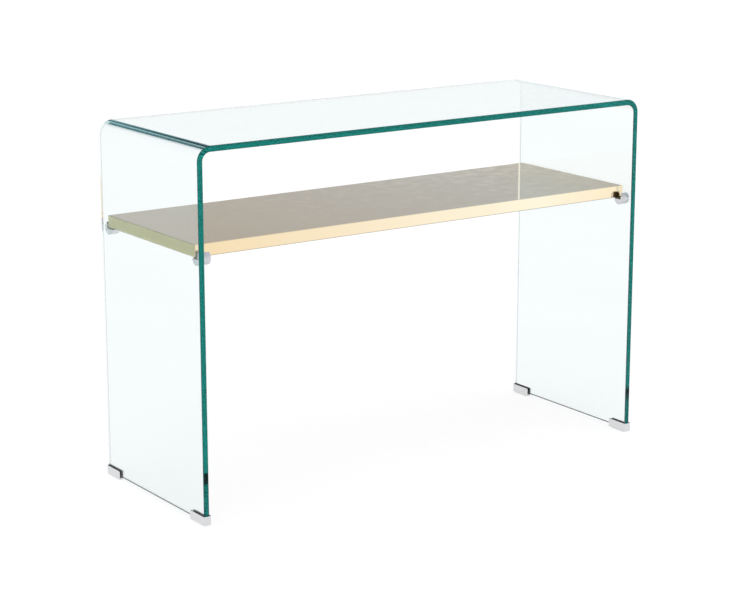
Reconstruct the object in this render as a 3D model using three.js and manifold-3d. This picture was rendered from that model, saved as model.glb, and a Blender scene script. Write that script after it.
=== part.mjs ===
// Console table: one sheet of clear glass bent into an upside-down U, with a metal-clad shelf
// that rests loosely on four notched round supports, and a metal shoe under each corner.
// Millimetres. +X runs along the length, -Y is the front, +Z is up, and the origin is on the
// floor under the middle of the table.
import * as THREE from "three";
import { mergeVertices } from "three/addons/utils/BufferGeometryUtils.js";
import Module from "manifold-3d";

// ---------- Driving dimensions ----------

// Gap left between two pieces that touch or are stuck together.
const seatGap = 0.3;

// Bent glass.
const glassLength = 1100;
const glassDepth = 393;
const tableHeight = 750;
const glassThickness = 12;
const bendInnerRadius = 18;
const glassArris = 0.8;

// Corner shoe, measured from the floor and from its closed outer end.
const shoeHeight = 20;
const shoeLength = 55;
const shoeWall = 1.4;
const shoeEndWall = 3;
const shoeFloor = 3.4;
const shoeCornerRadius = 4;
const shoeMouthRadius = 1;
const shoeLipRadius = 3;
const shoeEdgeRound = 0.6;

// Rubber liner inside the shoe.
const linerWall = 0.8;
const linerFloor = 1.7;
const linerProud = 0.4;
const linerOverhang = 0.4;

// Pad that the shoe stands on.
const padThickness = 1.5;
const padWidth = 12;
const padLength = 44;
const padCornerRadius = 2;

// Shelf: a folded metal tray over a board, with a backing sheet let into its underside.
const shelfTopHeight = 557.5;
const shelfThickness = 25;
const shelfInset = 21.5;
const shelfEndGap = 2;
const traySheet = 1.2;
const trayFoldRadius = 1.4;
const trayCornerRadius = 2;
const boardThickness = 20;
const boardClearance = 0.4;
const backingThickness = 2;

// How far the shelf can slide forward and back between its supports, each way from the middle,
// and how much of that is left behind it where it has been pushed back.
const shelfPlay = 5;
const shelfBackPlay = 0.5;

// Round shelf support with a notch for the shelf's bottom edge.
const supportRadius = 14;
const supportLength = 17;
const supportChamfer = 1;
const supportAxisDrop = 1;
const notchOffset = 6.8;
const bondThickness = 0.8;

// L-shaped cushion that lines the notch, with a round-topped tongue.
const cushionThickness = 2.5;
const cushionEndInset = 0.5;
const cushionLip = 12.5;
const cushionRise = 9.5;
const tongueRadius = 7;

// ---------- Sizes that follow ----------

const halfLength = glassLength / 2;
const halfDepth = glassDepth / 2;
const innerFace = halfLength - glassThickness;

const shoeBottom = padThickness + seatGap;
const shoeFloorTop = shoeBottom + shoeFloor;
const linerBottom = shoeFloorTop + seatGap;
const linerFloorTop = linerBottom + linerFloor;
const glassBottom = linerFloorTop + seatGap;

const shelfBottomHeight = shelfTopHeight - shelfThickness;
const shelfLength = 2 * (innerFace - shelfEndGap);
const shelfDepth = glassDepth - 2 * shelfInset;
const shelfShift = shelfPlay - shelfBackPlay;

const boardInset = traySheet + boardClearance;
const boardTop = shelfTopHeight - traySheet - seatGap;
const boardBottom = boardTop - boardThickness;
const backingTop = boardBottom - seatGap;

const cushionFace = shelfDepth / 2 + shelfPlay;
const notchFace = cushionFace + cushionThickness + seatGap;
const supportAxisY = notchFace - notchOffset;
const supportAxisZ = shelfBottomHeight - supportAxisDrop;
const cushionTop = shelfBottomHeight - seatGap;
const ledgeTop = cushionTop - cushionThickness - seatGap;

const bondOuter = innerFace - seatGap;
const bondInner = bondOuter - bondThickness;
const supportRoot = bondInner - seatGap;
const supportTip = supportRoot - supportLength;

const shoeMiddle = halfLength - glassThickness / 2;
const linerHalfWidth = glassThickness / 2 + seatGap + linerWall;
const cavityHalfWidth = linerHalfWidth + seatGap;
const shoeHalfWidth = cavityHalfWidth + shoeWall;
const linerEnd = halfDepth + seatGap + linerWall;
const cavityEnd = linerEnd + seatGap;
const shoeEnd = cavityEnd + shoeEndWall;
const shoeMouth = shoeEnd - shoeLength;

// ---------- Solids ----------

const wasm = await Module();
wasm.setup();

function toSolid(geometry) {
  const bare = geometry.clone();
  bare.deleteAttribute("normal");
  bare.deleteAttribute("uv");
  const merged = mergeVertices(bare, 1e-4);
  const triVerts = new Uint32Array(merged.index.array);
  const vertProperties = merged.attributes.position.array;
  return new wasm.Manifold(new wasm.Mesh({ numProp: 3, vertProperties, triVerts }));
}

function toGeometry(solid) {
  const { vertProperties, triVerts } = solid.getMesh();
  const geometry = new THREE.BufferGeometry();
  geometry.setAttribute("position", new THREE.BufferAttribute(vertProperties, 3));
  geometry.setIndex(new THREE.BufferAttribute(triVerts, 1));
  geometry.computeVertexNormals();
  return geometry;
}

// A block between two corners, each [x, y, z].
function block(low, high) {
  const size = high.map((value, axis) => value - low[axis]);
  const middle = high.map((value, axis) => (value + low[axis]) / 2);
  return new THREE.BoxGeometry(...size).translate(...middle);
}

// A rectangle seen from above. The corners at its high-y end have one radius and those at its
// low-y end another.
function planOutline([x0, y0], [x1, y1], highRadius, lowRadius) {
  const outline = new THREE.Shape();
  outline.moveTo(x0, y0 + lowRadius);
  outline.lineTo(x0, y1 - highRadius);
  outline.absarc(x0 + highRadius, y1 - highRadius, highRadius, Math.PI, Math.PI / 2, true);
  outline.lineTo(x1 - highRadius, y1);
  outline.absarc(x1 - highRadius, y1 - highRadius, highRadius, Math.PI / 2, 0, true);
  outline.lineTo(x1, y0 + lowRadius);
  outline.absarc(x1 - lowRadius, y0 + lowRadius, lowRadius, 0, -Math.PI / 2, true);
  outline.lineTo(x0 + lowRadius, y0);
  outline.absarc(x0 + lowRadius, y0 + lowRadius, lowRadius, -Math.PI / 2, -Math.PI, true);
  return outline;
}

// An outline raised from z0 to z1 with all the edges of both ends rounded off.
function roundedPrism(outline, z0, z1, round) {
  const settings = {
    depth: z1 - z0 - 2 * round,
    bevelThickness: round,
    bevelSize: round,
    bevelOffset: -round,
    bevelSegments: 3,
    curveSegments: 6,
  };
  return new THREE.ExtrudeGeometry(outline, settings).translate(0, 0, z0 + round);
}

// What a rounded top corner leaves off. The corner is at (x, y) of a flat outline, and side is 1
// where the corner is on the high-x side and -1 where it is on the low-x side.
function cornerWaste(x, y, side, radius) {
  const waste = new THREE.Shape();
  const inX = x - side * radius;
  const inY = y - radius;
  waste.moveTo(x + side, inY);
  waste.lineTo(x, inY);
  waste.absarc(inX, inY, radius, side > 0 ? 0 : Math.PI, Math.PI / 2, side < 0);
  waste.lineTo(inX, y + 1);
  waste.lineTo(x + side, y + 1);
  return waste;
}

// A profile whose own x and y become Y and Z, drawn out along X from x0 to x1.
function prismAlongX(profile, x0, x1) {
  const prism = new THREE.ExtrudeGeometry(profile, { depth: x1 - x0, bevelEnabled: false });
  const turn = new THREE.Matrix4().makeBasis(
    new THREE.Vector3(0, 1, 0),
    new THREE.Vector3(0, 0, 1),
    new THREE.Vector3(1, 0, 0),
  );
  return prism.applyMatrix4(turn).translate(x0, 0, 0);
}

// A profile whose own x and y become X and Z, drawn out along Y from y0 to y1.
function prismAlongY(profile, y0, y1) {
  const prism = new THREE.ExtrudeGeometry(profile, { depth: y1 - y0, bevelEnabled: false });
  return prism.rotateX(Math.PI / 2).translate(0, y1, 0);
}

// ---------- Glass ----------

function glassOutline() {
  const bendOuterRadius = bendInnerRadius + glassThickness;
  const bendX = halfLength - bendOuterRadius;
  const bendZ = tableHeight - bendOuterRadius;
  const outline = new THREE.Shape();
  outline.moveTo(halfLength, glassBottom);
  outline.absarc(bendX, bendZ, bendOuterRadius, 0, Math.PI / 2, false);
  outline.absarc(-bendX, bendZ, bendOuterRadius, Math.PI / 2, Math.PI, false);
  outline.lineTo(-halfLength, glassBottom);
  outline.lineTo(-innerFace, glassBottom);
  outline.absarc(-bendX, bendZ, bendInnerRadius, Math.PI, Math.PI / 2, true);
  outline.absarc(bendX, bendZ, bendInnerRadius, Math.PI / 2, 0, true);
  outline.lineTo(innerFace, glassBottom);
  return outline;
}

function bentGlass() {
  const settings = {
    depth: glassDepth - 2 * glassArris,
    bevelThickness: glassArris,
    bevelSize: glassArris,
    bevelOffset: -glassArris,
    bevelSegments: 1,
    curveSegments: 16,
  };
  const panel = new THREE.ExtrudeGeometry(glassOutline(), settings);
  return panel.rotateX(Math.PI / 2).translate(0, halfDepth - glassArris, 0);
}

// ---------- Shelf, in the place it takes when pushed back ----------

// A block inside the shelf, set in from all four of its sides.
function shelfLayer(sideInset, z0, z1) {
  const x = shelfLength / 2 - sideInset;
  const y = shelfDepth / 2 - sideInset;
  return block([-x, shelfShift - y, z0], [x, shelfShift + y, z1]);
}

function shelfTray() {
  const x = shelfLength / 2;
  const y = shelfDepth / 2;
  const low = [-x, shelfShift - y];
  const high = [x, shelfShift + y];
  const outline = planOutline(low, high, trayCornerRadius, trayCornerRadius);
  const foot = shelfBottomHeight - 2 * trayFoldRadius;
  const slab = toSolid(roundedPrism(outline, foot, shelfTopHeight, trayFoldRadius));
  const below = toSolid(shelfLayer(-shelfEndGap, foot - seatGap, shelfBottomHeight));
  const inside = toSolid(shelfLayer(traySheet, foot, shelfTopHeight - traySheet));
  return toGeometry(slab.subtract(below).subtract(inside));
}

function shelfBoard() {
  return shelfLayer(boardInset, boardBottom, boardTop);
}

function shelfBacking() {
  return shelfLayer(boardInset, backingTop - backingThickness, backingTop);
}

// ---------- Shelf support at the +X, +Y corner ----------

// A round bar along X with its axis at the support's place.
function supportBar(xTip, xRoot, chamfer) {
  const profile = [
    new THREE.Vector2(0, xTip),
    new THREE.Vector2(supportRadius - chamfer, xTip),
    new THREE.Vector2(supportRadius, xTip + chamfer),
    new THREE.Vector2(supportRadius, xRoot),
    new THREE.Vector2(0, xRoot),
  ];
  const bar = new THREE.LatheGeometry(profile, 48).rotateZ(-Math.PI / 2);
  return bar.translate(0, supportAxisY, supportAxisZ);
}

// Everything above the ledge and inside the notch's face, from one x position to another.
function notchRoom(x0, x1) {
  const low = [x0 - 1, supportAxisY - 2 * supportRadius, ledgeTop];
  return toSolid(block(low, [x1 + 1, notchFace, supportAxisZ + 2 * supportRadius]));
}

function supportBody() {
  const bar = toSolid(supportBar(supportTip, supportRoot, supportChamfer));
  return toGeometry(bar.subtract(notchRoom(supportTip, supportRoot)));
}

function supportBond() {
  const disc = new THREE.CylinderGeometry(supportRadius, supportRadius, bondThickness, 48);
  const middle = (bondInner + bondOuter) / 2;
  const whole = disc.rotateZ(Math.PI / 2).translate(middle, supportAxisY, supportAxisZ);
  return toGeometry(toSolid(whole).subtract(notchRoom(bondInner, bondOuter)));
}

function supportCushion() {
  const back = notchFace - seatGap;
  const under = ledgeTop + seatGap;
  const profile = new THREE.Shape();
  profile.moveTo(supportAxisY - cushionLip, under);
  profile.lineTo(back, under);
  profile.lineTo(back, cushionTop + cushionRise);
  profile.lineTo(cushionFace, cushionTop + cushionRise);
  profile.lineTo(cushionFace, cushionTop);
  profile.lineTo(supportAxisY - cushionLip, cushionTop);
  const x0 = supportTip + cushionEndInset;
  const x1 = supportRoot - cushionEndInset;
  let pad = toSolid(prismAlongX(profile, x0, x1));
  for (const [x, side] of [[x0, -1], [x1, 1]]) {
    const waste = cornerWaste(x, cushionTop + cushionRise, side, tongueRadius);
    pad = pad.subtract(toSolid(prismAlongY(waste, cushionFace - 1, back + 1)));
  }
  return toGeometry(pad);
}

// ---------- Corner shoe at the +X, +Y corner ----------

function cornerShoe() {
  const low = [shoeMiddle - shoeHalfWidth, shoeMouth];
  const high = [shoeMiddle + shoeHalfWidth, shoeEnd];
  const outline = planOutline(low, high, shoeCornerRadius, shoeMouthRadius);
  const body = toSolid(roundedPrism(outline, shoeBottom, shoeHeight, shoeEdgeRound));
  const x0 = shoeMiddle - cavityHalfWidth;
  const x1 = shoeMiddle + cavityHalfWidth;
  const channel = block([x0, shoeMouth - 1, shoeFloorTop], [x1, cavityEnd, shoeHeight + 1]);
  const lip = cornerWaste(shoeMouth, shoeHeight, -1, shoeLipRadius);
  const lipWaste = prismAlongX(lip, low[0] - 1, high[0] + 1);
  return toGeometry(body.subtract(toSolid(channel)).subtract(toSolid(lipWaste)));
}

function shoeLiner() {
  const mouth = shoeMouth - linerOverhang;
  const top = shoeHeight + linerProud;
  const wrap = block(
    [shoeMiddle - linerHalfWidth, mouth, linerBottom],
    [shoeMiddle + linerHalfWidth, linerEnd, top],
  );
  const reach = glassThickness / 2 + seatGap;
  const slot = block(
    [shoeMiddle - reach, mouth - 1, linerFloorTop],
    [shoeMiddle + reach, linerEnd - linerWall, top + 1],
  );
  const lip = cornerWaste(mouth, top, -1, shoeLipRadius);
  const lipWaste = prismAlongX(lip, shoeMiddle - shoeHalfWidth, shoeMiddle + shoeHalfWidth);
  return toGeometry(toSolid(wrap).subtract(toSolid(slot)).subtract(toSolid(lipWaste)));
}

function shoePad() {
  const middle = shoeEnd - shoeLength / 2;
  const low = [shoeMiddle - padWidth / 2, middle - padLength / 2];
  const high = [shoeMiddle + padWidth / 2, middle + padLength / 2];
  const outline = planOutline(low, high, padCornerRadius, padCornerRadius);
  const settings = { depth: padThickness, bevelEnabled: false, curveSegments: 4 };
  return new THREE.ExtrudeGeometry(outline, settings);
}

// ---------- Assembly ----------

function piece(name, geometry, color, roughness, metalness, extra = {}) {
  const look = new THREE.MeshStandardMaterial({ color, roughness, metalness, ...extra });
  const mesh = new THREE.Mesh(geometry, look);
  mesh.name = name;
  return mesh;
}

const group = new THREE.Group();
const clear = { transparent: true, opacity: 0.35 };

group.add(
  piece("bent_glass_panel", bentGlass(), 0xb4dcd7, 0.03, 0, clear),
  piece("shelf_gold_tray", shelfTray(), 0xe3c98f, 0.08, 1),
  piece("shelf_core_board", shelfBoard(), 0xa98a63, 0.8, 0),
  piece("shelf_backing_sheet", shelfBacking(), 0x2b2a28, 0.6, 0),
);

for (const [side, sx] of [["left", -1], ["right", 1]]) {
  for (const [end, sy] of [["front", -1], ["back", 1]]) {
    const corner = new THREE.Group();
    corner.scale.set(sx, sy, 1);
    corner.add(
      piece(`support_${end}_${side}`, supportBody(), 0xd6d8da, 0.12, 1),
      piece(`support_bond_${end}_${side}`, supportBond(), 0xe6efee, 0.1, 0, clear),
      piece(`support_cushion_${end}_${side}`, supportCushion(), 0x3a2f22, 0.7, 0),
      piece(`foot_shoe_${end}_${side}`, cornerShoe(), 0xcfd1d3, 0.18, 1),
      piece(`foot_liner_${end}_${side}`, shoeLiner(), 0x1a1b1c, 0.65, 0),
      piece(`foot_pad_${end}_${side}`, shoePad(), 0x3a3a3b, 0.8, 0),
    );
    group.add(corner);
  }
}

export default group;
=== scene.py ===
"""Looks of the console table: bent clear glass, mirror-gold shelf, chrome supports and shoes.

Everything is in metres in the CAD frame: +X along the table, -Y the front, +Z up, floor at z = 0.
"""

import math

import bmesh
import bpy
from mathutils import Matrix, Vector


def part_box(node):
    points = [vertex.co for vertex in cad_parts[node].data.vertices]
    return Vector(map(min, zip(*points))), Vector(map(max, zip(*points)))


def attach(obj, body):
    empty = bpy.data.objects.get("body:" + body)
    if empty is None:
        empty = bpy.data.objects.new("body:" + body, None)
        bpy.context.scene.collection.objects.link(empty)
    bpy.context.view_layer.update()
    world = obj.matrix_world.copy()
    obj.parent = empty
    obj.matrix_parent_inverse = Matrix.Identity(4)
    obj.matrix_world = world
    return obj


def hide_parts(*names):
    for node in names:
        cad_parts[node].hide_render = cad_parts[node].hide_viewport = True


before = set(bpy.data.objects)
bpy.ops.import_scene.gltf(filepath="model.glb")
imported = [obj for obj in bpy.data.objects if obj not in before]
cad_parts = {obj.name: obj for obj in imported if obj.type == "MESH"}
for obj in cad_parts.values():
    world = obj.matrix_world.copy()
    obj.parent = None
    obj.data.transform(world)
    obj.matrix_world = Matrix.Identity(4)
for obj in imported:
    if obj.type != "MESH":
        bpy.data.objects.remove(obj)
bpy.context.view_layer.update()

MM = 0.001

# ---------- Sizes that the frame's boxes do not give ----------

SEAT_GAP = 0.3 * MM
GLASS_THICKNESS = 12 * MM
GLASS_BEND_INNER = 18 * MM
GLASS_ARRIS = 0.8 * MM
LEAST_ARRIS = 0.02 * MM
TRAY_SHEET = 1.2 * MM
TRAY_FOLD = 1.4 * MM
TRAY_HEM = 1.0 * MM
SUPPORT_RADIUS = 14 * MM
SHOE_WALL = 1.4 * MM
SHOE_END_WALL = 3 * MM
SHOE_FLOOR = 3.4 * MM
SHOE_CORNER = 4 * MM
SHOE_LIP = 3 * MM
SHOE_MOUTH_CORNER = 1 * MM
LINER_WALL = 0.8 * MM
PAD_CORNER = 2 * MM
CUSHION_THICKNESS = 2.5 * MM
TONGUE_CORNER = 7 * MM

# How far the edges of each kind of piece are rounded off.
SUPPORT_ROUND = 0.7 * MM
BOND_ROUND = 0.25 * MM
CUSHION_ROUND = 0.35 * MM
SHOE_ROUND = 0.4 * MM
LINER_ROUND = 0.2 * MM
PAD_ROUND = 0.3 * MM

# How far a cutter reaches past what it cuts.
SPARE = 1 * MM

# Each bend has this many rows of faces, with one short flat row before and after it.
BEND_ROWS = 40
BEND_LEAD = 1.5 * MM

# The crown of a bend starts where the sheet's outer side has turned this far up, in degrees.
CROWN_START = 63

# How far from the middle the gold's painted reflection gradient changes along X and the crowns' painted
# teal glow along Y.
GOLD_REACH = 540 * MM
GLOW_REACH = 190 * MM

CORNERS = [
    (f"{end}_{side}", Vector((sx, sy, 1)))
    for side, sx in (("left", -1), ("right", 1))
    for end, sy in (("front", -1), ("back", 1))
]

# ---------- Mesh helpers ----------


def add_object(name, bm):
    mesh = bpy.data.meshes.new(name)
    bmesh.ops.recalc_face_normals(bm, faces=bm.faces)
    bm.to_mesh(mesh)
    bm.free()
    obj = bpy.data.objects.new(name, mesh)
    bpy.context.scene.collection.objects.link(obj)
    return obj


def apply_modifiers(obj):
    graph = bpy.context.evaluated_depsgraph_get()
    mesh = bpy.data.meshes.new_from_object(obj.evaluated_get(graph))
    obj.modifiers.clear()
    obj.data = mesh


def shade(obj, sharp_degrees=32):
    """Smooth shading that keeps big faces flat and edges that turn more than the angle sharp."""
    obj.data.shade_smooth()
    obj.data.set_sharp_from_angle(angle=math.radians(sharp_degrees))
    modifier = obj.modifiers.new("weighted_normals", "WEIGHTED_NORMAL")
    modifier.keep_sharp = True
    modifier.weight = 100
    apply_modifiers(obj)


def arc(centre, radius, start, end, steps):
    """Points from the start angle to the end angle, both in degrees, ends included."""
    angles = (math.radians(start + (end - start) * i / steps) for i in range(steps + 1))
    return [(centre[0] + radius * math.cos(a), centre[1] + radius * math.sin(a)) for a in angles]


def prism(name, outline, axis, low, high):
    """The outline raised along an axis. Its two numbers are the other two axes, in X, Y, Z order."""
    bm = bmesh.new()

    def place(point, height):
        spot = list(point)
        spot.insert("XYZ".index(axis), height)
        return bm.verts.new(spot)

    rings = [[place(p, h) for p in outline] for h in (low, high)]
    count = len(outline)
    for i in range(count):
        j = (i + 1) % count
        bm.faces.new((rings[0][i], rings[0][j], rings[1][j], rings[1][i]))
    bm.faces.new(rings[0])
    bm.faces.new(rings[1])
    return add_object(name, bm)


def block(name, low, high):
    corners = [(low[0], low[1]), (high[0], low[1]), (high[0], high[1]), (low[0], high[1])]
    return prism(name, corners, "Z", low[2], high[2])


def cut(obj, cutter):
    modifier = obj.modifiers.new("cut", "BOOLEAN")
    modifier.operation = "DIFFERENCE"
    modifier.solver = "EXACT"
    modifier.object = cutter
    apply_modifiers(obj)
    bpy.data.objects.remove(cutter)


def soften(obj, width, segments=3, limit_degrees=40):
    """Rounds off the edges that turn more than the limit."""
    modifier = obj.modifiers.new("round", "BEVEL")
    modifier.width = width
    modifier.segments = segments
    modifier.limit_method = "ANGLE"
    modifier.angle_limit = math.radians(limit_degrees)
    modifier.harden_normals = False
    apply_modifiers(obj)
    shade(obj)


def at_corner(obj, name, signs):
    """A copy of a piece made for the +X, +Y corner, mirrored to another corner."""
    mesh = obj.data.copy()
    mesh.transform(Matrix.Diagonal((*signs, 1)))
    if signs.x * signs.y < 0:
        mesh.flip_normals()
    copy = bpy.data.objects.new(name, mesh)
    bpy.context.scene.collection.objects.link(copy)
    shade(copy)
    return copy


def corner_waste(corner, side, radius):
    """The outline that a rounded top corner leaves off. side is 1 at the high end and -1 at the low."""
    x, y = corner
    inner, under, beyond = x - side * radius, y - radius, x + side * SPARE
    bend = arc((inner, under), radius, 0 if side > 0 else 180, 90, 10)
    return [(beyond, under), *bend, (inner, y + SPARE), (beyond, y + SPARE)]


def rounded_plan(low, high, high_radius, low_radius, steps=10):
    """A rectangle seen from above, with one corner radius at its +Y end and one at its -Y end."""
    (x0, y0), (x1, y1) = low, high
    return [
        *arc((x1 - low_radius, y0 + low_radius), low_radius, -90, 0, steps),
        *arc((x1 - high_radius, y1 - high_radius), high_radius, 0, 90, steps),
        *arc((x0 + high_radius, y1 - high_radius), high_radius, 90, 180, steps),
        *arc((x0 + low_radius, y0 + low_radius), low_radius, 180, 270, steps),
    ]


# ---------- Material helpers ----------


class Nodes:
    """A short way to build one material's node tree."""

    def __init__(self, name):
        self.material = bpy.data.materials.new(name)
        self.material.use_nodes = True
        self.tree = self.material.node_tree
        self.shader = self.tree.nodes["Principled BSDF"]
        self.output = self.tree.nodes["Material Output"]
        self.coordinates = self.tree.nodes.new("ShaderNodeTexCoord").outputs["Object"]

    def set(self, **values):
        for key, value in values.items():
            self.shader.inputs[key.replace("_", " ")].default_value = value

    def link(self, output, socket):
        self.tree.links.new(output, self.shader.inputs[socket])

    def stretched(self, scale):
        """The object's own coordinates, scaled along each axis."""
        node = self.tree.nodes.new("ShaderNodeMapping")
        node.inputs["Scale"].default_value = scale
        self.tree.links.new(self.coordinates, node.inputs["Vector"])
        return node.outputs["Vector"]

    def noise(self, scale, stretch=(1, 1, 1), detail=3.0, roughness=0.5):
        node = self.tree.nodes.new("ShaderNodeTexNoise")
        node.inputs["Scale"].default_value = scale
        node.inputs["Detail"].default_value = detail
        node.inputs["Roughness"].default_value = roughness
        self.tree.links.new(self.stretched(stretch), node.inputs["Vector"])
        return node.outputs["Fac"]

    def multiply(self, first, second):
        """One colour times another."""
        node = self.tree.nodes.new("ShaderNodeMix")
        node.data_type = "RGBA"
        node.blend_type = "MULTIPLY"
        node.inputs["Factor"].default_value = 1.0
        colours = [i for i in node.inputs if i.type == "RGBA"]
        self.tree.links.new(first, colours[0])
        self.tree.links.new(second, colours[1])
        return next(o for o in node.outputs if o.type == "RGBA")

    def attribute(self, name):
        """A number that the mesh carries on its faces."""
        node = self.tree.nodes.new("ShaderNodeAttribute")
        node.attribute_name = name
        return node.outputs["Fac"]

    def range(self, value, low, high, start=0.3, stop=0.7):
        """Carries start to stop over to low to high."""
        node = self.tree.nodes.new("ShaderNodeMapRange")
        limits = {"From Min": start, "From Max": stop, "To Min": low, "To Max": high}
        for socket, number in limits.items():
            node.inputs[socket].default_value = number
        self.tree.links.new(value, node.inputs["Value"])
        return node.outputs["Result"]

    def tint(self, value, dark, light, start=0.3, stop=0.7):
        """One colour up to start, another from stop on, and a blend between."""
        node = self.tree.nodes.new("ShaderNodeValToRGB")
        ramp = node.color_ramp
        ramp.elements[0].position, ramp.elements[0].color = start, (*dark, 1)
        ramp.elements[1].position, ramp.elements[1].color = stop, (*light, 1)
        self.tree.links.new(value, node.inputs["Fac"])
        return node.outputs["Color"]

    def product(self, first, second):
        """One number times another."""
        node = self.tree.nodes.new("ShaderNodeMath")
        node.operation = "MULTIPLY"
        self.tree.links.new(first, node.inputs[0])
        self.tree.links.new(second, node.inputs[1])
        return node.outputs["Value"]

    def along(self, axis):
        """The place along one of the object's own axes, in metres."""
        node = self.tree.nodes.new("ShaderNodeSeparateXYZ")
        self.tree.links.new(self.coordinates, node.inputs["Vector"])
        return node.outputs[axis]

    def steps(self, value, *colours):
        """One flat colour for each equal share of the range from 0 to 1."""
        node = self.tree.nodes.new("ShaderNodeValToRGB")
        ramp = node.color_ramp
        ramp.interpolation = "CONSTANT"
        ramp.elements[0].color = (*colours[0], 1)
        ramp.elements[1].position, ramp.elements[1].color = 1 / len(colours), (*colours[1], 1)
        for i, colour in enumerate(colours[2:], 2):
            ramp.elements.new(i / len(colours)).color = (*colour, 1)
        self.tree.links.new(value, node.inputs["Fac"])
        return node.outputs["Color"]

    def bump(self, height, strength, distance):
        node = self.tree.nodes.new("ShaderNodeBump")
        node.inputs["Strength"].default_value = strength
        node.inputs["Distance"].default_value = distance
        self.tree.links.new(height, node.inputs["Height"])
        self.link(node.outputs["Normal"], "Normal")


def glass_material():
    """Clear tempered glass: green absorption along the light's path, and faint waves from the bending.

    The sheet's "edge" attribute is 0 on the broad faces, 0.5 on the ground arrises and 1 on the
    polished edges, which are darker and less bright in reflection. Its "bend" attribute is 1 on
    the crown of the two bends, which get a painted teal glow: an emission, weaker at the front
    and stronger at the back.
    """
    look = Nodes("bent_glass")
    look.set(IOR=1.52, Transmission_Weight=1.0)
    edge = look.attribute("edge")
    look.link(look.steps(edge, (0, 0, 0), (0.3, 0.3, 0.3), (0.1, 0.1, 0.1)), "Roughness")
    look.link(look.steps(edge, (1, 1, 1), (0.34, 0.38, 0.40), (0.11, 1.0, 0.80)), "Base Color")
    look.link(look.steps(edge, (1, 1, 1), (0.5, 0.5, 0.5), (0.12, 0.38, 0.38)), "Specular Tint")
    look.bump(look.noise(9.0, (1, 1, 1), 1.0), 0.08, 0.0006)
    # Painted teal glow: emission on the bend crowns, from 0.06 at the front to 0.16 at the back.
    painted_glow_strength = look.range(look.along("Y"), 0.06, 0.16, -GLOW_REACH, GLOW_REACH)
    look.set(Emission_Color=(0.27, 0.85, 0.93, 1))
    look.link(look.product(look.attribute("bend"), painted_glow_strength), "Emission Strength")
    absorb = look.tree.nodes.new("ShaderNodeVolumeAbsorption")
    absorb.inputs["Color"].default_value = (0.216, 0.556, 0.569, 1)
    absorb.inputs["Density"].default_value = 9.0
    look.tree.links.new(absorb.outputs["Volume"], look.output.inputs["Volume"])
    return look.material


def gold_material():
    """Gold-coloured mirror sheet on the tray's top, front and back, with a painted reflection gradient:
    deeper, darker gold to the left, lightest right of the middle.
    """
    look = Nodes("gold_mirror_sheet")
    look.set(Metallic=1.0)
    # Painted reflection gradient along X: darker, deeper gold at the left end, lightest right of the
    # middle, a little darker again at the right end.
    along = look.range(look.along("X"), 0, 1, -GOLD_REACH, GOLD_REACH)
    tone = look.tint(along, (0.895, 0.715, 0.455), (0.95, 0.80, 0.555), 0.0, 1.0)
    stops = tone.node.color_ramp.elements
    stops.new(0.45).color = (0.952, 0.825, 0.61, 1)
    stops.new(0.78).color = (0.975, 0.90, 0.70, 1)
    drift = look.noise(9.0, (1, 1, 3), 3.0)
    look.link(look.multiply(tone, look.tint(drift, (0.99, 0.988, 0.984), (1, 1, 1))), "Base Color")
    hairs = look.noise(60.0, (0.6, 0.6, 40), 4.0)
    look.link(look.range(hairs, 0.03, 0.09), "Roughness")
    look.bump(look.noise(4.0, (1, 1, 1), 1.0), 0.03, 0.0001)
    return look.material


def gold_end_material():
    """The tray's folded ends: the same metal, rougher, with painted shade in a darker, olive base
    colour.
    """
    look = Nodes("gold_satin_end")
    look.set(Metallic=1.0)
    drift = look.noise(30.0, (1, 1, 2), 4.0)
    # Painted shade: the ends' base colour is about half as bright as the front's gold.
    look.link(look.tint(drift, (0.44, 0.42, 0.17), (0.50, 0.47, 0.22)), "Base Color")
    hairs = look.noise(90.0, (1, 0.5, 30), 4.0)
    look.link(look.range(hairs, 0.14, 0.24), "Roughness")
    look.bump(hairs, 0.06, 0.00004)
    return look.material


def gold_hem_material():
    """Dark brown metal on the downward faces of the tray's lower rim."""
    look = Nodes("gold_dark_lower_rim")
    look.set(Metallic=1.0)
    drift = look.noise(300.0, (1, 1, 1), 4.0)
    look.link(look.tint(drift, (0.12, 0.09, 0.05), (0.20, 0.15, 0.09)), "Base Color")
    look.link(look.range(drift, 0.3, 0.45), "Roughness")
    return look.material


def chrome_material():
    """Turned and chromed metal of the shelf supports."""
    look = Nodes("support_chrome")
    look.set(Metallic=1.0)
    drift = look.noise(90.0, (1, 1, 1), 2.0)
    look.link(look.tint(drift, (0.55, 0.56, 0.58), (0.64, 0.65, 0.67)), "Base Color")
    rings = look.noise(400.0, (6, 0.4, 0.4), 2.0)
    look.link(look.range(rings, 0.05, 0.13), "Roughness")
    look.bump(rings, 0.04, 0.00003)
    return look.material


def shoe_material():
    """Satin metal of the corner shoes, brushed along their length."""
    look = Nodes("shoe_satin_metal")
    look.set(Metallic=1.0)
    lines = look.noise(260.0, (1.2, 0.12, 8), 4.0)
    look.link(look.tint(lines, (0.66, 0.665, 0.68), (0.74, 0.745, 0.76)), "Base Color")
    look.link(look.range(lines, 0.16, 0.30), "Roughness")
    look.bump(lines, 0.10, 0.00004)
    return look.material


def rubber_material(name, dark, light, grain=900.0):
    look = Nodes(name)
    fine = look.noise(grain, (1, 1, 1), 3.0)
    look.link(look.tint(fine, dark, light), "Base Color")
    look.link(look.range(fine, 0.5, 0.72), "Roughness")
    look.set(Specular_IOR_Level=0.35)
    look.bump(fine, 0.25, 0.0001)
    return look.material


def adhesive_material():
    """Clear cured adhesive with a few tiny bubbles."""
    look = Nodes("clear_adhesive")
    look.set(Base_Color=(0.96, 0.985, 0.98, 1), IOR=1.49, Transmission_Weight=1.0)
    bubbles = look.noise(700.0, (1, 1, 1), 2.0)
    look.link(look.range(bubbles, 0.0, 0.10, 0.45, 0.8), "Roughness")
    return look.material


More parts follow.
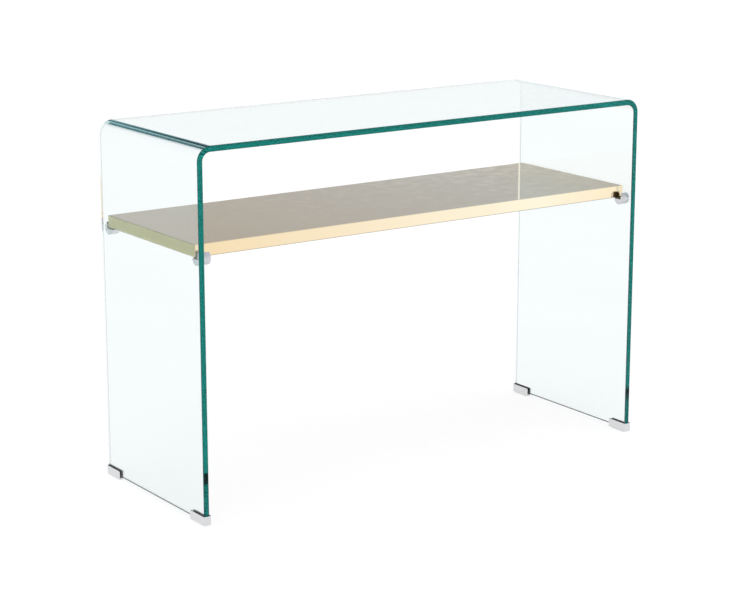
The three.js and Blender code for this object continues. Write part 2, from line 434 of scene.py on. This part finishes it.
def board_material():
    look = Nodes("fibreboard")
    fibre = look.noise(220.0, (1, 1, 5), 6.0, 0.7)
    look.link(look.tint(fibre, (0.30, 0.19, 0.11), (0.46, 0.32, 0.20)), "Base Color")
    look.link(look.range(fibre, 0.75, 0.92), "Roughness")
    look.bump(fibre, 0.3, 0.0003)
    return look.material


def backing_material():
    look = Nodes("dark_laminate")
    grain = look.noise(160.0, (1, 1, 1), 5.0, 0.65)
    look.link(look.tint(grain, (0.020, 0.019, 0.018), (0.034, 0.032, 0.030)), "Base Color")
    look.link(look.range(grain, 0.42, 0.6), "Roughness")
    look.bump(grain, 0.2, 0.0002)
    return look.material


# ---------- Pieces ----------


def glass_section(spot, outward, half, depth, inset=0.0):
    """One cross-section of the sheet: a thin rectangle with an arris on each long edge."""
    thick, wide = half - inset, depth - inset
    arris = max(GLASS_ARRIS - inset, LEAST_ARRIS)
    corners = [
        (thick, -wide + arris),
        (thick, wide - arris),
        (thick - arris, wide),
        (-thick + arris, wide),
        (-thick, wide - arris),
        (-thick, -wide + arris),
        (-thick + arris, -wide),
        (thick - arris, -wide),
    ]
    return [Vector((spot[0] + outward[0] * t, y, spot[1] + outward[1] * t)) for t, y in corners]


def edge_kind(face):
    """1 on a polished edge, 0.5 on an arris, 0 on the broad faces."""
    at_foot = face.normal.z < -0.95 and face.center.z < GLASS_THICKNESS
    if abs(face.normal.y) > 0.95 or at_foot:
        return 1.0
    if abs(face.normal.y) > 0.3:
        return 0.5
    return 0.0


def on_crown(face):
    """1 on the upper part of the outer side of the two bends, where the sheet gets its painted teal
    glow, 0 elsewhere.
    """
    turned_up = math.sin(math.radians(CROWN_START)) < face.normal.z
    level = face.normal.z > 0.99999
    return 1.0 if turned_up and not level and abs(face.normal.y) < 0.1 else 0.0


def bent_glass():
    """The sheet, as cross-sections joined from the right foot over the top to the left foot."""
    low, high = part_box("bent_glass_panel")
    half = GLASS_THICKNESS / 2
    middle_radius = GLASS_BEND_INNER + half
    bend_x = high.x - half - middle_radius
    bend_z = high.z - half - middle_radius
    side = high.x - half
    stations = [
        ((side, low.z), (1, 0), GLASS_ARRIS),
        ((side, low.z + GLASS_ARRIS), (1, 0), 0),
        ((side, bend_z - BEND_LEAD), (1, 0), 0),
    ]
    for i in range(BEND_ROWS + 1):
        angle = math.radians(90 * i / BEND_ROWS)
        out = (math.cos(angle), math.sin(angle))
        spot = (bend_x + middle_radius * out[0], bend_z + middle_radius * out[1])
        stations.append((spot, out, 0))
    stations.append(((bend_x - BEND_LEAD, high.z - half), (0, 1), 0))
    mirrored = [((-x, z), (-ox, oz), inset) for (x, z), (ox, oz), inset in reversed(stations)]
    bm = bmesh.new()
    rings = []
    for spot, out, inset in stations + mirrored:
        section = glass_section(spot, out, half, high.y, inset)
        rings.append([bm.verts.new(p) for p in section])
    count = len(rings[0])
    for a, b in zip(rings, rings[1:]):
        for i in range(count):
            j = (i + 1) % count
            bm.faces.new((a[i], a[j], b[j], b[i]))
    bm.faces.new(rings[0])
    bm.faces.new(rings[-1])
    sheet = add_object("bent_glass_sheet", bm)
    shade(sheet, 30)
    for name, rule in (("edge", edge_kind), ("bend", on_crown)):
        marks = sheet.data.attributes.new(name, "FLOAT", "FACE")
        for face, mark in zip(sheet.data.polygons, marks.data):
            mark.value = rule(face)
    sheet.data.materials.append(glass_material())
    return sheet


def tray_finish(face, low, high):
    """The material slot of one face of the tray: 0 mirror, 1 end, 2 lower rim."""
    if face.center.z < low.z + TRAY_HEM and face.normal.z < -0.2:
        return 2
    near_end = min(face.center.x - low.x, high.x - face.center.x) < TRAY_SHEET / 2
    return 1 if near_end and abs(face.normal.x) > 0.7 else 0


def gold_tray():
    """The folded tray: a rounded block with its underside and its inside cut away."""
    low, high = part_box("shelf_gold_tray")
    depth = 2 * TRAY_FOLD
    tray = block("gold_shelf_tray", (low.x, low.y, low.z - depth), high)
    soften(tray, TRAY_FOLD, 5)
    spare = Vector((TRAY_FOLD, TRAY_FOLD, 0))
    cut(tray, block("below", low - spare - Vector((0, 0, 2 * depth)), (*(high + spare).xy, low.z)))
    sheet = Vector((TRAY_SHEET, TRAY_SHEET, TRAY_SHEET))
    inner_low, inner_high = low + sheet, high - sheet
    cut(tray, block("inside", (inner_low.x, inner_low.y, low.z - depth), inner_high))
    bevel_lower_rim(tray, low.z)
    shade(tray)
    for material in (gold_material(), gold_end_material(), gold_hem_material()):
        tray.data.materials.append(material)
    for face in tray.data.polygons:
        face.material_index = tray_finish(face, low, high)
    return tray


def bevel_lower_rim(tray, height):
    """Rounds the outer lower edge of the tray's turned-down sides."""
    bm = bmesh.new()
    bm.from_mesh(tray.data)
    side = max(abs(v.co.x) for v in bm.verts) - TRAY_FOLD / 2
    front = min(v.co.y for v in bm.verts) + TRAY_FOLD / 2
    back = max(v.co.y for v in bm.verts) - TRAY_FOLD / 2

    def outside(vert):
        low_enough = abs(vert.co.z - height) < 0.01 * MM
        return low_enough and (abs(vert.co.x) > side or not front < vert.co.y < back)

    rim = [e for e in bm.edges if all(outside(v) for v in e.verts)]
    bmesh.ops.bevel(bm, geom=rim, offset=TRAY_HEM, segments=3, profile=0.5, affect="EDGES")
    bm.to_mesh(tray.data)
    bm.free()


def notched_disc(name, x_low, x_high):
    """A disc at the support's place with the notch for the shelf and its cushion cut away."""
    disc_low, disc_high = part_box("support_bond_back_right")
    cushion_low, cushion_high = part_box("support_cushion_back_right")
    axis_y = disc_high.y - SUPPORT_RADIUS
    axis_z = disc_low.z + SUPPORT_RADIUS
    disc = prism(name, arc((axis_y, axis_z), SUPPORT_RADIUS, 0, 360, 96)[:-1], "X", x_low, x_high)
    room = 2 * SUPPORT_RADIUS
    notch_low = (x_low - room, axis_y - room, cushion_low.z - SEAT_GAP)
    notch_high = (x_high + room, cushion_high.y + SEAT_GAP, axis_z + room)
    cut(disc, block("notch", notch_low, notch_high))
    return disc


def support_shape():
    low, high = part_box("support_back_right")
    bar = notched_disc("support_shape", low.x, high.x)
    soften(bar, SUPPORT_ROUND, 4)
    return bar


def bond_shape():
    low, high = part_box("support_bond_back_right")
    layer = notched_disc("bond_shape", low.x, high.x)
    soften(layer, BOND_ROUND, 3)
    return layer


def cushion_shape():
    low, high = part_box("support_cushion_back_right")
    flat = low.z + CUSHION_THICKNESS
    face = high.y - CUSHION_THICKNESS
    outline = [
        (low.y, low.z), (high.y, low.z), (high.y, high.z),
        (face, high.z), (face, flat), (low.y, flat),
    ]
    pad = prism("cushion_shape", outline, "X", low.x, high.x)
    for x, side in ((low.x, -1), (high.x, 1)):
        waste = corner_waste((x, high.z), side, TONGUE_CORNER)
        cut(pad, prism("tongue_corner", waste, "Y", face - SPARE, high.y + SPARE))
    soften(pad, CUSHION_ROUND, 3, 30)
    return pad


def shoe_shape():
    low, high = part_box("foot_shoe_back_right")
    outline = rounded_plan((low.x, low.y), (high.x, high.y), SHOE_CORNER, SHOE_MOUTH_CORNER)
    shoe = prism("shoe_shape", outline, "Z", low.z, high.z)
    cavity_low = (low.x + SHOE_WALL, low.y - SPARE, low.z + SHOE_FLOOR)
    cavity_high = (high.x - SHOE_WALL, high.y - SHOE_END_WALL, high.z + SPARE)
    cut(shoe, block("cavity", cavity_low, cavity_high))
    waste = corner_waste((low.y, high.z), -1, SHOE_LIP)
    cut(shoe, prism("lip", waste, "X", low.x - SPARE, high.x + SPARE))
    soften(shoe, SHOE_ROUND, 3, 30)
    return shoe


def liner_shape():
    low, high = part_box("foot_liner_back_right")
    glass_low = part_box("bent_glass_panel")[0]
    liner = block("liner_shape", low, high)
    slot_low = (low.x + LINER_WALL, low.y - SPARE, glass_low.z - SEAT_GAP)
    slot_high = (high.x - LINER_WALL, high.y - LINER_WALL, high.z + SPARE)
    cut(liner, block("slot", slot_low, slot_high))
    waste = corner_waste((low.y, high.z), -1, SHOE_LIP)
    cut(liner, prism("lip", waste, "X", low.x - SPARE, high.x + SPARE))
    soften(liner, LINER_ROUND, 3, 30)
    return liner


def pad_shape():
    low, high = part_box("foot_pad_back_right")
    outline = rounded_plan((low.x, low.y), (high.x, high.y), PAD_CORNER, PAD_CORNER)
    pad = prism("pad_shape", outline, "Z", low.z, high.z)
    soften(pad, PAD_ROUND, 2)
    return pad


# ---------- Assembly ----------


def show(piece, node, body):
    """Stands a piece in for a CAD node, on its body."""
    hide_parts(node)
    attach(piece, body)


def repeat_at_corners(shape, piece_name, node_name, material):
    """Shows a piece made for the +X, +Y corner at all four corners."""
    for place, signs in CORNERS:
        piece = at_corner(shape, f"{piece_name}_{place}", signs)
        piece.data.materials.clear()
        piece.data.materials.append(material)
        show(piece, f"{node_name}_{place}", "table")
    bpy.data.objects.remove(shape)


show(bent_glass(), "bent_glass_panel", "table")
show(gold_tray(), "shelf_gold_tray", "shelf")

black = rubber_material("black_rubber", (0.010, 0.010, 0.011), (0.022, 0.022, 0.024))
brown = rubber_material("smoke_brown_rubber", (0.075, 0.052, 0.028), (0.11, 0.080, 0.045))
grey = rubber_material("grey_rubber", (0.035, 0.035, 0.036), (0.06, 0.06, 0.062), 600.0)
repeat_at_corners(support_shape(), "notched_support", "support", chrome_material())
repeat_at_corners(bond_shape(), "adhesive_disc", "support_bond", adhesive_material())
repeat_at_corners(cushion_shape(), "notch_cushion", "support_cushion", brown)
repeat_at_corners(shoe_shape(), "corner_shoe", "foot_shoe", shoe_material())
repeat_at_corners(liner_shape(), "shoe_liner", "foot_liner", black)
repeat_at_corners(pad_shape(), "floor_pad", "foot_pad", grey)

# The board and its backing keep their CAD shapes and take only a material.
hidden_layers = {"shelf_core_board": board_material(), "shelf_backing_sheet": backing_material()}
for node, material in hidden_layers.items():
    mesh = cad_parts[node].data
    mesh.materials.clear()
    mesh.materials.append(material)

# ---------- Floor, light and camera ----------

FLOOR_HALF = 60.0
FLOOR_DROP = 0.2 * MM
FLOOR_GLOW = (0.86, 0.855, 0.852)
FLOOR_TONES = (0.19, 0.19, 0.19), (0.21, 0.21, 0.21)

KEY_POWER = 0.35
KEY_SPREAD = math.radians(50)
KEY_TILT = (math.radians(18), math.radians(-14), 0)

CAMERA_PLACE = (-2.5245, -3.6083, 1.4126)
CAMERA_YAW = math.radians(34.861)
CAMERA_PITCH = math.radians(13.853)
FOCAL_LENGTH = 102.46
SENSOR_WIDTH = 36.0

# The studio's colours, and where its card and flag stand: azimuth, elevation and radii in degrees.
# Heights are the sine of an elevation: the wall turns into the ceiling between two of them, and
# the card's lower edge is soft between CARD_FOOT and CARD_FOOT + CARD_FADE.
WALL = (1.0, 1.0, 1.0)
WALL_TOP = 0.1
CEILING = (0.80, 0.84, 0.88)
CEILING_FOOT = 0.7
CARD = (0.475, 0.49, 0.52)
CARD_AIM = (34.0, 16.0)
CARD_INNER = 12.0
CARD_OUTER = 22.0
CARD_FOOT = 0.165
CARD_FADE = 0.007
FLAG = (0.01, 0.06, 0.07)
FLAG_AIM = (14.0, 25.5)
FLAG_INNER = 12.5
FLAG_OUTER = 14.0


def plain_floor():
    """A wide lit table: it glows a little less than white and the key light brings it to white."""
    edge = FLOOR_HALF
    corners = [(-edge, -edge), (edge, -edge), (edge, edge), (-edge, edge)]
    bm = bmesh.new()
    bm.faces.new([bm.verts.new((x, y, 0)) for x, y in corners])
    floor = add_object("floor", bm)
    floor.location.z = -FLOOR_DROP
    look = Nodes("pale_floor")
    look.set(Roughness=0.9, Specular_IOR_Level=0.0)
    look.set(Emission_Color=(*FLOOR_GLOW, 1), Emission_Strength=1.0)
    look.link(look.tint(look.noise(2.0), *FLOOR_TONES), "Base Color")
    floor.data.materials.append(look.material)


def key_light():
    lamp = bpy.data.lights.new("key_light", "SUN")
    lamp.energy = KEY_POWER
    lamp.angle = KEY_SPREAD
    obj = bpy.data.objects.new("key_light", lamp)
    obj.rotation_euler = KEY_TILT
    bpy.context.scene.collection.objects.link(obj)


def direction(azimuth, elevation):
    """A unit vector: azimuth 0 looks along +Y and 90 along +X, both angles in degrees."""
    azimuth, elevation = math.radians(azimuth), math.radians(elevation)
    level = math.cos(elevation)
    return Vector((math.sin(azimuth) * level, math.cos(azimuth) * level, math.sin(elevation)))


def studio_surround():
    """A white studio with a grey card and a dark flag behind the table.

    The shelf's gold top mirrors the card, and the left bend of the glass shows the flag.
    """
    world = bpy.data.worlds.new("studio")
    bpy.context.scene.world = world
    world.use_nodes = True
    tree = world.node_tree
    looking = tree.nodes.new("ShaderNodeTexCoord").outputs["Generated"]

    def ramp(value, low, high):
        node = tree.nodes.new("ShaderNodeMapRange")
        node.interpolation_type = "SMOOTHSTEP"
        node.inputs["From Min"].default_value = low
        node.inputs["From Max"].default_value = high
        tree.links.new(value, node.inputs["Value"])
        return node.outputs["Result"]

    def spot(aim, inner, outer):
        """1 within the inner angle of the aimed direction, 0 beyond the outer one."""
        node = tree.nodes.new("ShaderNodeVectorMath")
        node.operation = "DOT_PRODUCT"
        node.inputs[1].default_value = direction(*aim)
        tree.links.new(looking, node.inputs[0])
        beyond, within = math.cos(math.radians(outer)), math.cos(math.radians(inner))
        return ramp(node.outputs["Value"], beyond, within)

    def times(a, b):
        node = tree.nodes.new("ShaderNodeMath")
        node.operation = "MULTIPLY"
        tree.links.new(a, node.inputs[0])
        tree.links.new(b, node.inputs[1])
        return node.outputs["Value"]

    def blend(factor, below, above):
        node = tree.nodes.new("ShaderNodeMix")
        node.data_type = "RGBA"
        tree.links.new(factor, node.inputs["Factor"])
        colours = [i for i in node.inputs if i.type == "RGBA"]
        if isinstance(below, tuple):
            colours[0].default_value = (*below, 1)
        else:
            tree.links.new(below, colours[0])
        colours[1].default_value = (*above, 1)
        return next(o for o in node.outputs if o.type == "RGBA")

    split = tree.nodes.new("ShaderNodeSeparateXYZ")
    tree.links.new(looking, split.inputs["Vector"])
    height = split.outputs["Z"]
    colour = blend(ramp(height, WALL_TOP, CEILING_FOOT), WALL, CEILING)
    above_foot = ramp(height, CARD_FOOT, CARD_FOOT + CARD_FADE)
    card = times(spot(CARD_AIM, CARD_INNER, CARD_OUTER), above_foot)
    colour = blend(card, colour, CARD)
    colour = blend(spot(FLAG_AIM, FLAG_INNER, FLAG_OUTER), colour, FLAG)
    tree.links.new(colour, tree.nodes["Background"].inputs["Color"])


def camera():
    data = bpy.data.cameras.new("camera")
    data.lens = FOCAL_LENGTH
    data.sensor_width = SENSOR_WIDTH
    data.clip_end = 200
    obj = bpy.data.objects.new("camera", data)
    obj.location = CAMERA_PLACE
    obj.rotation_euler = (math.pi / 2 - CAMERA_PITCH, 0, -CAMERA_YAW)
    bpy.context.scene.collection.objects.link(obj)
    bpy.context.scene.camera = obj


plain_floor()
key_light()
studio_surround()
camera()

scene = bpy.context.scene
scene.view_settings.view_transform = "Standard"
# Light crosses the sheet many times before it leaves through an edge.
scene.cycles.max_bounces = 48
scene.cycles.transmission_bounces = 48
scene.cycles.glossy_bounces = 48
scene.cycles.diffuse_bounces = 4
